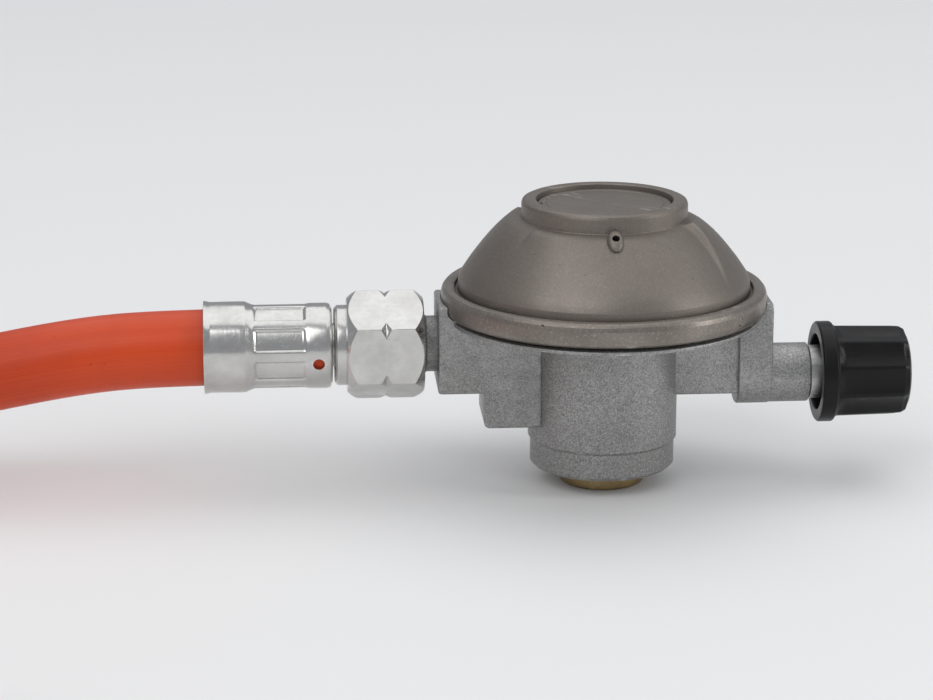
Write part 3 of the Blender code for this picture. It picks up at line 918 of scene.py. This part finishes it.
arm = drawn_block(
    "arm",
    [(12.6, 34.0), (12.6, 18.3), (27.5, 18.3), (27.5, 34.0)],
    "Y",
    -5.0,
    5.0,
    edge=0.7,
)
half_turn = [math.pi * number / 24 for number in range(25)]
under_boss = [
    (-BOSS_RADIUS * math.cos(angle), KNOB_Z - BOSS_RADIUS * math.sin(angle)) for angle in half_turn
]
boss = drawn_block(
    "boss",
    [*under_boss, (BOSS_RADIUS, 35.4), (4.8, 36.8), (-4.8, 36.8), (-BOSS_RADIUS, 35.4)],
    "X",
    26.3,
    33.0,
    edge=0.45,
)
boolean(boss, turned("rim_tool", ABOVE_RIM, steps=160))
spindle_drill = [(0, 4.2), (2.2, 4.2), (2.2, 28.0), (3.3, 28.0), (3.3, 35.5), (0, 35.5)]
for piece in (casting_round, arm, boss):
    boolean(piece, turned("spindle_drill", spindle_drill, (0, 0, KNOB_Z), "X", steps=64, edge=0.05))
neck = turned(
    "neck",
    [(5.85, 40.7), (5.85, 31.5), (4.6, 31.5), (4.6, 40.7)],
    (0, 0, KNOB_Z),
    "X",
    steps=96,
    edge=0.2,
)
print("casting has a column, a block, an arm, a boss and a neck")

# %% [markdown]
# The outlet spigot carries the left-hand thread. Its core is turned with the bore and
# the cone seat, and a wound ridge makes the thread.

# %% Outlet spigot with its thread
GAS_PITCH = 1.337  # 19 threads an inch
spigot_core = turned(
    "spigot_core",
    [
        (5.5, -31.0),
        (5.5, -35.0),
        (5.85, -35.4),
        (5.85, -44.6),
        (5.5, -44.9),
        (4.6, -44.9),
        (2.8, -41.8),
        (2.8, -31.0),
    ],
    (0, 0, OUTLET_Z),
    "X",
    steps=96,
    edge=0.1,
)
spigot_thread = wound_thread("spigot_thread", 5.85, 6.58, GAS_PITCH, 6, (-44.2, 0, OUTLET_Z))
blocks = (outlet_block, arm, boss)
casting = joined("casting", casting_round, *blocks, neck, spigot_core, spigot_thread)
hand_over(casting, CAST_ZINC, "regulator", "cast_zinc", "body_casting")

# %% [markdown]
# ## Rolled rim
#
# The ring starts as a plain band. A press rolls its two edges over the flange, which
# leaves a full round outside and two thin lips.

# %% The rim
rim = turned(
    "rolled_rim",
    [
        (30.2, 40.1),
        (31.3, 39.9),
        (31.8, 39.3),
        (32.0, 38.5),
        (31.95, 36.5),
        (31.7, 35.7),
        (31.0, 35.15),
        (29.7, 35.0),
        (29.7, 35.65),
        (30.3, 35.9),
        (30.3, 39.3),
        (29.3, 39.35),
        (29.3, 39.8),
    ],
    steps=256,
    edge=0.35,
)
hand_over(rim, RIM_ZINC, "regulator", "rim_zinc", "crimp_ring")

# %% [markdown]
# ## Domed cover
#
# The cover is a turned shell with a collar. Its slope isn't quite round: two opposite
# sectors rise from long curved creases and sink back to the slope, and a short ledge
# follows each one beside the collar. The shell is turned first. Its mesh lines are
# then swept sideways so that they run along the creases, and the sectors are lifted.

# %% The cover's shell
COLLAR_RADIUS = 16.25
slope = [
    (COLLAR_RADIUS, 53.6),
    (17.5, 53.0),
    (18.8, 52.3),
    (20.1, 51.35),
    (21.4, 50.25),
    (22.7, 49.0),
    (24.0, 47.6),
    (25.2, 46.2),
    (26.3, 44.9),
    (27.3, 43.6),
    (28.1, 42.4),
    (28.6, 41.2),
    (28.7, 40.2),
]
cover = turned(
    "spring_cover",
    [
        (13.4, 57.2),
        (15.4, 57.2),
        (16.05, 56.9),
        (COLLAR_RADIUS, 56.3),
        *slope,
        (28.7, 39.1),
        (30.0, 39.0),
        (30.0, 38.2),
        (27.1, 38.2),
        (27.1, 41.0),
        (23.0, 46.0),
        (20.0, 48.9),
        (17.6, 51.0),
        (14.0, 51.6),
        (14.0, 50.0),
        (11.2, 50.0),
        (11.2, 55.1),
        (13.4, 55.1),
    ],
    steps=360,
    edge=0.3,
)
print("cover's shell:", len(cover.data.polygons), "faces")

# %% The raised sectors
STEP_ANGLE = -57.0  # degrees from the front, where each sector's ledge starts
CREASE_AFTER = 117.0  # degrees from there to the crease
SLOPE_WIDTH = 11.2
SECTOR_HEIGHT = 1.25
LEDGE_HEIGHT = 0.6


def eased(value):
    """A soft step from 0 to 1."""
    value = min(max(value, 0.0), 1.0)
    return value * value * (3 - 2 * value)


def slope_part(radius):
    """How far down the slope a radius is, from 0 at the collar to 1 at the foot."""
    return min(max((radius - COLLAR_RADIUS) / SLOPE_WIDTH, 0.0), 1.0)


def sector_lift(after, radius):
    """The lift in millimetres, by the angle after a step in degrees and the radius."""
    part = slope_part(radius)
    wall = 5.0 - 3.4 * part
    rise = min(max((after - CREASE_AFTER + wall) / wall, 0.0), 1.0)
    fall = 1.0 - max(after - CREASE_AFTER, 0.0) / (180.0 - CREASE_AFTER)
    ledge = min(after / 1.5, 1.0) * max(0.0, 1 - after / CREASE_AFTER)
    ledge *= eased((21.0 - radius) / 4.0)
    return SECTOR_HEIGHT * (1 - part) ** 0.8 * rise * fall + LEDGE_HEIGHT * ledge


def raise_sectors(piece):
    """Sweeps the outer slope's mesh onto the curved creases and lifts the sectors."""
    lifted = 0
    for vertex in piece.data.vertices:
        x, y, z = vertex.co / MM
        radius = math.hypot(x, y)
        if radius < 16.3 or not 40.5 < z < 54.5 or radius < 16.2 + (54.4 - z) * 0.82:
            continue
        angle = math.degrees(math.atan2(x, -y))
        after = (angle - STEP_ANGLE) % 180.0
        near_crease = max(0.0, 1 - abs(after - CREASE_AFTER) / 24.0)
        swept = (4.0 - 10.0 * slope_part(radius) ** 1.3) * near_crease
        turned_to = math.radians(angle + swept)
        height = sector_lift(after, radius)
        out = radius + height * 0.62
        x, y = out * math.sin(turned_to), -out * math.cos(turned_to)
        vertex.co = Vector((x, y, z + height * 0.78)) * MM
        lifted += height > 0.1
    return lifted


print("lifted", raise_sectors(cover), "vertices")

# %% [markdown]
# The vent sits in a small drop-shaped boss on the slope at the front. The boss is a
# stretched sphere laid on the slope, and the hole is drilled through it.

# %% The vent
VENT_RADIUS = 0.75
BOSS_TILT = math.radians(38)
DRILL_TILT = math.radians(52)
nothing_selected()
bpy.ops.mesh.primitive_uv_sphere_add(segments=48, ring_count=24, radius=1.6 * MM)
vent_boss = bpy.context.object
vent_boss.scale = (1.0, 1.6, 0.65)
bpy.ops.object.transform_apply(scale=True)
bpy.ops.object.shade_smooth()
apply_place(vent_boss, (0, -18.6, 52.9), (BOSS_TILT, 0, 0))
nothing_selected()
bpy.ops.mesh.primitive_cylinder_add(vertices=32, radius=VENT_RADIUS * MM, depth=4.0 * MM)
vent_drill = bpy.context.object
apply_place(vent_drill, (0, -18.9, 53.3), (DRILL_TILT, 0, 0))
vent_copy = vent_drill.copy()
vent_copy.data = vent_drill.data.copy()
bpy.context.collection.objects.link(vent_copy)
boolean(cover, vent_drill)
boolean(vent_boss, vent_copy)
cover = joined("spring_cover", cover, vent_boss)
hand_over(cover, COVER_ZINC, "regulator", "cover_zinc", "cover_dome")

# %% [markdown]
# ## Closing disc
#
# A disc is pressed into the collar to close it over the spring's adjuster. It has a
# shallow turned groove near its edge and a small notch for prising it out.

# %% The disc
disc = turned(
    "closing_disc",
    [
        (0, 56.25),
        (11.3, 56.25),
        (11.45, 56.12),
        (11.75, 56.12),
        (11.9, 56.25),
        (12.9, 56.25),
        (13.15, 56.0),
        (13.15, 55.4),
        (0, 55.4),
    ],
    steps=160,
    edge=0.12,
)
notch = [(-14.0, 57.0), (-14.0, 55.9), (-12.1, 55.9), (-12.1, 57.0)]
boolean(disc, drawn_block("notch_tool", notch, "Y", -1.2, 1.2, edge=0.15))
hand_over(disc, COVER_ZINC, "regulator", "cover_zinc", "marking_disc")

# %% [markdown]
# ## Brass inlet
#
# The inlet is turned brass with an inside thread for the cartridge. Its flange has
# four small flats, for the tool that holds it.

# %% The inlet
SOCKET_PITCH = 0.907  # 28 threads an inch
SOCKET_RADIUS = 5.6
inlet = turned(
    "brass_inlet",
    [
        (7.3, 15.0),
        (7.3, 3.3),
        (8.4, 3.3),
        (8.4, 0.4),
        (8.0, 0.0),
        (6.2, 0.0),
        (SOCKET_RADIUS, 0.7),
        (SOCKET_RADIUS, 11.4),
        (3.4, 11.4),
        (3.4, 15.0),
    ],
    steps=160,
    edge=0.12,
)
FLAT_REACH = 8.3 * MM
for vertex in inlet.data.vertices:
    if vertex.co.z < 3.35 * MM and vertex.co.xy.length > 7.5 * MM:
        vertex.co.x = max(-FLAT_REACH, min(FLAT_REACH, vertex.co.x))
        vertex.co.y = max(-FLAT_REACH, min(FLAT_REACH, vertex.co.y))
inlet_thread = wound_thread(
    "inlet_thread",
    SOCKET_RADIUS,
    5.15,
    SOCKET_PITCH,
    8,
    (0, 0, 1.6),
    "Z",
    left_hand=False,
)
inlet = joined("brass_inlet", inlet, inlet_thread)
hand_over(inlet, BRASS, "regulator", "brass", "cartridge_inlet")

# %% [markdown]
# ## Knob
#
# The knob is a moulded cap with a flange at its mouth and ten wide shallow flutes. It
# is turned first, and its grip is then drawn in along the flutes. Each flute fades
# out before the flange and before the rounded end.

# %% The knob
knob = turned(
    "grip_knob",
    [
        (0, 61.0),
        (4.5, 60.85),
        (7.2, 60.5),
        (8.4, 60.0),
        (8.95, 59.0),
        (9.05, 57.5),
        (9.1, 55.0),
        (9.15, 52.5),
        (9.2, 50.0),
        (9.25, 47.6),
        (9.25, 46.4),
        (9.3, 45.8),
        (9.75, 45.7),
        (10.0, 45.4),
        (10.0, 42.9),
        (9.7, 42.6),
        (7.5, 42.6),
        (7.5, 55.0),
        (3.6, 56.0),
        (3.6, 47.5),
        (2.28, 47.5),
        (2.28, 58.3),
        (0, 58.3),
    ],
    (0, 0, KNOB_Z),
    "X",
    steps=240,
    edge=0.3,
)
FLUTES = 10
FLUTE_HALF = math.radians(16.3)
FLUTE_DEPTH = 0.65
FLUTE_START = math.radians(18)


def flute_depth(angle, along):
    """How far the grip is drawn in, in millimetres."""
    from_middle = (angle * FLUTES / math.tau) % 1.0 - 0.5
    part = from_middle * math.tau / FLUTES / FLUTE_HALF
    fade = eased((along - 46.0) / 0.8) * eased((60.6 - along) / 1.0)
    return FLUTE_DEPTH * max(0.0, 1 - part * part) * fade


for vertex in knob.data.vertices:
    along, y, z = vertex.co.x / MM, vertex.co.y / MM, vertex.co.z / MM - KNOB_Z
    radius = math.hypot(y, z)
    if radius < 7.9 or along < 45.9:
        continue
    angle = math.atan2(z, y) + FLUTE_START
    drawn_in = (radius - flute_depth(angle, along)) / radius
    vertex.co.y = y * drawn_in * MM
    vertex.co.z = (KNOB_Z + z * drawn_in) * MM
hand_over(knob, KNOB_PLASTIC, "knob", "black_plastic", "control_knob")

# %% [markdown]
# ## Union nut
#
# The nut starts as a hexagonal bar. A lathe chamfers its corners, turns the round
# shoulder behind it, and cuts a groove across the middle of each corner, which marks
# a left-hand thread. The same nut is used at both ends of the hose, so it is modelled
# once with its mouth at the origin, and then copied.

# %% The nut's model
ACROSS_FLATS = 19.0
NUT_BORE = 7.1
bar_radius = ACROSS_FLATS / math.sqrt(3) * MM
nothing_selected()
bpy.ops.mesh.primitive_cylinder_add(vertices=6, radius=bar_radius, depth=15.0 * MM)
nut_model = bpy.context.object
nut_model.name = "nut_model"
apply_place(nut_model, (0, 0, -7.5))
corner_lathe = turned(
    "corner_lathe",
    [
        (0, 0.0),
        (9.25, 0.0),
        (11.6, -2.7),
        (11.6, -5.6),
        (10.1, -7.5),
        (11.6, -9.4),
        (11.6, -12.3),
        (9.25, -15.0),
        (0, -15.0),
    ],
    steps=180,
    edge=0.1,
)
boolean(nut_model, corner_lathe, "INTERSECT")
bore = [(0, 1.0), (NUT_BORE, 1.0), (NUT_BORE, -11.3), (4.5, -11.3), (4.5, -16.0), (0, -16.0)]
boolean(nut_model, turned("bore_tool", bore, steps=96))
bpy.ops.object.mode_set(mode="EDIT")
bpy.ops.mesh.select_all(action="SELECT")
bpy.ops.mesh.remove_doubles(threshold=0.00002)
bpy.ops.mesh.quads_convert_to_tris(quad_method="BEAUTY", ngon_method="BEAUTY")
bpy.ops.mesh.normals_make_consistent(inside=False)
bpy.ops.object.mode_set(mode="OBJECT")
rounding = nut_model.modifiers.new("rounding", "BEVEL")
rounding.width = 0.07 * MM
rounding.segments = 2
rounding.limit_method = "ANGLE"
rounding.angle_limit = math.radians(30)
rounding.use_clamp_overlap = True
apply_modifiers(nut_model)
bpy.ops.object.shade_smooth_by_angle(angle=SMOOTH_ANGLE)
nut_shoulder = turned(
    "nut_shoulder",
    [(7.9, -14.6), (7.9, -16.9), (7.3, -17.5), (4.5, -17.5), (4.5, -14.6)],
    steps=128,
    edge=0.25,
)
nut_thread = wound_thread("nut_thread", NUT_BORE, 6.7, GAS_PITCH, 6, (0, 0, -1.4), "Z")
nut_model = joined("nut_model", nut_model, nut_shoulder, nut_thread)
print("nut model:", len(nut_model.data.polygons), "faces")

# %% [markdown]
# ## Hose tail and ferrule
#
# The tail's cone nose seals against the outlet and its barbed stem holds the hose.
# The ferrule is a thin tube pressed round the hose: the jaws of the press leave eight
# long panels in its waist, its mouth is flared, and a small hole near its front shows
# the orange hose.

# %% The tail's model
STEM_RADIUS = 3.7
nose = [(2.9, -7.0), (4.25, -9.35), (6.1, -9.7), (6.1, -11.0), (4.3, -11.0), (4.3, -19.6)]
tail_outline = [*nose, (STEM_RADIUS, -20.0)]
for barb in (-23.0, -28.6, -34.2):
    tail_outline += [(STEM_RADIUS, barb), (4.1, barb - 0.2), (STEM_RADIUS, barb - 2.4)]
tail_outline += [(STEM_RADIUS, -40.6), (3.2, -41.2), (2.4, -41.2), (2.4, -7.0)]
tail_model = turned("tail_model", tail_outline, steps=96, edge=0.1)
print("tail model:", len(tail_model.data.polygons), "faces")

# %% The ferrule's model
PANELS = 8
PANEL_HALF = math.radians(16)
PANEL_EDGE = math.radians(3)
PRESSED_DEPTH = 0.42
ferrule_model = turned(
    "ferrule_model",
    [
        (4.7, -17.9),
        (7.5, -17.9),
        (8.2, -18.3),
        (8.4, -19.0),
        (8.4, -22.2),
        (8.3, -22.8),
        *[(8.28, -23.0 - 0.2 * step) for step in range(5)],
        (8.28, -26.0),
        (8.28, -30.0),
        *[(8.28, -32.4 - 0.2 * step) for step in range(5)],
        (8.33, -33.5),
        (8.6, -34.2),
        (8.9, -34.8),
        (8.95, -36.0),
        (8.9, -41.6),
        (9.05, -42.3),
        (9.2, -42.9),
        (8.7, -42.9),
        (8.35, -42.2),
        (8.3, -35.2),
        (7.62, -33.6),
        (7.62, -19.1),
        (4.7, -19.1),
    ],
    steps=240,
    edge=0.2,
)
for vertex in ferrule_model.data.vertices:
    x, y, z = vertex.co / MM
    radius = math.hypot(x, y)
    if radius < 7.9:
        continue
    along = eased((-22.9 - z) / 0.7) * eased((z + 33.3) / 0.7)
    in_panel = (math.atan2(y, x) * PANELS / math.tau) % 1.0 - 0.5
    from_middle = abs(in_panel * math.tau / PANELS)
    pressed = PRESSED_DEPTH * along * eased((PANEL_HALF - from_middle) / PANEL_EDGE)
    vertex.co.x = x * (radius - pressed) / radius * MM
    vertex.co.y = y * (radius - pressed) / radius * MM
nothing_selected()
bpy.ops.mesh.primitive_cylinder_add(vertices=32, radius=1.15 * MM, depth=3.0 * MM)
sight_tool = bpy.context.object
apply_place(sight_tool, (1.6, -8.0, -20.6), (math.radians(90), 0, math.radians(11)))
boolean(ferrule_model, sight_tool)
print("ferrule model:", len(ferrule_model.data.polygons), "faces")


# %% [markdown]
# ## Both ends of the hose
#
# Each model is copied to the regulator's end and to the free end. A copy gets its own
# mesh, is rolled about its axis, and is turned along X, so that every piece ends up
# with its place in its mesh. The models themselves are then removed.


# %% Both ends of the hose
def fitted(model, name, mouth, roll, finish, body, node):
    """A copy of the model with its own mesh, turned along X with its mouth in place."""
    nothing_selected()
    piece = model.copy()
    piece.data = model.data.copy()
    piece.name = name
    bpy.context.collection.objects.link(piece)
    apply_place(piece, (0, 0, 0), (0, 0, math.radians(roll)))
    apply_place(piece, mouth, TURN_TO_X)
    return hand_over(piece, finish, body, "bright_nickel", node)


fittings = [
    fitted(nut_model, "near_nut", NEAR_MOUTH, 30, NEAR_NICKEL, "nut", "union_nut"),
    fitted(tail_model, "near_tail", NEAR_MOUTH, 0, NEAR_NICKEL, "hose", "hose_tail"),
    fitted(ferrule_model, "near_ferrule", NEAR_MOUTH, 0, NEAR_NICKEL, "hose", "hose_ferrule"),
    fitted(nut_model, "distant_nut", FAR_MOUTH, 0, FAR_NICKEL, "far_nut", "far_union_nut"),
    fitted(tail_model, "distant_tail", FAR_MOUTH, 0, FAR_NICKEL, "hose", "far_tail"),
    fitted(ferrule_model, "distant_ferrule", FAR_MOUTH, 40, FAR_NICKEL, "hose", "far_ferrule"),
]
for model in (nut_model, tail_model, ferrule_model):
    bpy.data.objects.remove(model)

# %% [markdown]
# The names of the fittings that are on the hose are printed.

# %% The fittings on the hose
print("pieces on the hose:", ", ".join(piece.name for piece in fittings))

# %% [markdown]
# ## Pieces inside
#
# The spring, the lever, the valve and the seals are inside and keep the frame's
# shapes. They still get real finishes, because a look into the inlet shows the pin
# and the seal, and because the pieces may be used on their own.

# %% Finishes of the inner pieces
INNER = {
    "spring_adjuster": BRASS,
    "main_spring": STEEL,
    "diaphragm": SOFT_RUBBER,
    "diaphragm_plate": STEEL,
    "diaphragm_hub": BRASS,
    "hub_nut": BRASS,
    "valve_lever": STEEL,
    "lever_pin": STEEL,
    "valve_guide": VALVE_BRASS,
    "valve_plunger": VALVE_BRASS,
    "valve_pad": SOFT_RUBBER,
    "valve_nozzle": VALVE_BRASS,
    "inlet_filter": SINTER,
    "inlet_seal": SOFT_RUBBER,
    "valve_pin": BRASS,
    "shut_off_pad": SOFT_RUBBER,
    "shut_off_spindle": SPINDLE_BRASS,
    "spindle_o_ring": SOFT_RUBBER,
    "gland_nut": GLAND_STEEL,
}
for name, finish in INNER.items():
    for material_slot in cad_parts[name].material_slots:
        material_slot.material = finish
print("finished", len(INNER), "inner pieces")
